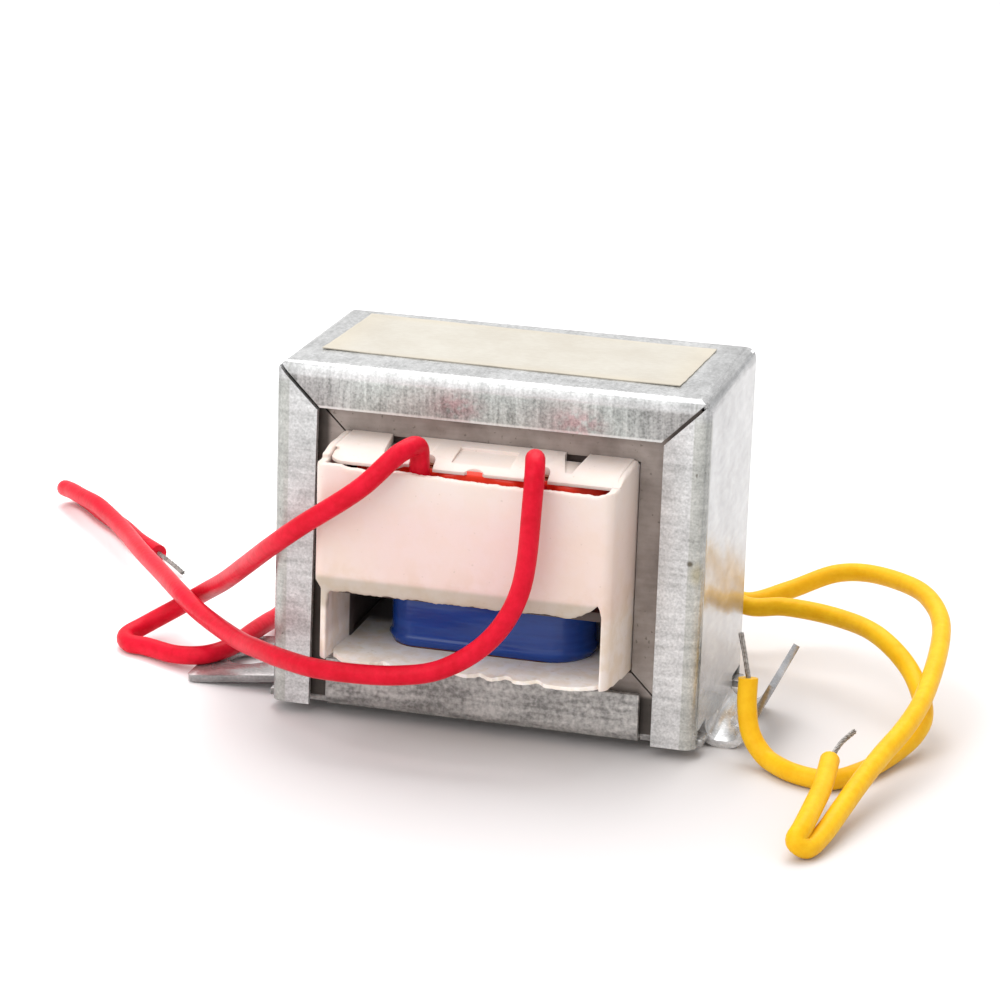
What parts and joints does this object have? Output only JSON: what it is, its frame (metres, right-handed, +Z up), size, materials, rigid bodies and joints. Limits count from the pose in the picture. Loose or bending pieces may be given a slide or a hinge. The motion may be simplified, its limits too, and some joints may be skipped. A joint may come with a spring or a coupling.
{
  "type": "transformer",
  "caption": "Small mains transformer: laminated steel core in a folded metal frame with mounting feet, white bobbin with taped windings, red and yellow wire leads.",
  "frame": {"origin": "centre of the underside of the base strip, which lies 1.2 mm above the plane that the feet stand on", "axes": "+X to the right, towards the bent-up foot; +Y to the back, where the yellow leads come out; +Z up"},
  "size_m": [0.1085, 0.08, 0.0357],
  "materials": {
    "galvanised_sheet": "satin, fine zinc speckle",
    "core_sheet": "matt, edges of stacked sheets",
    "bobbin_plastic": "matt off-white",
    "winding_wire": "enamelled copper colour",
    "red_tape": "gloss film",
    "blue_tape": "gloss film",
    "label_paper": "matt cream paper, blank",
    "red_insulation": "satin soft insulation",
    "yellow_insulation": "satin soft insulation",
    "tinned_wire": "dull tinned"
  },
  "bodies": {
    "root": {"channel_frame": "galvanised_sheet", "base_strip": "galvanised_sheet", "core_f_stack": "core_sheet", "core_l_stack": "core_sheet", "bobbin": "bobbin_plastic", "front_cover": "bobbin_plastic", "rear_cover": "bobbin_plastic", "primary_winding": "winding_wire", "primary_tape": "red_tape", "secondary_winding": "winding_wire", "secondary_tape": "blue_tape", "top_label": "label_paper", "red_lead_left": "red_insulation", "red_lead_right": "red_insulation", "yellow_lead_upper": "yellow_insulation", "yellow_lead_lower": "yellow_insulation", "red_wire_left": "tinned_wire", "red_wire_right": "tinned_wire", "yellow_wire_upper": "tinned_wire", "yellow_wire_lower": "tinned_wire"}
  },
  "joints": []
}
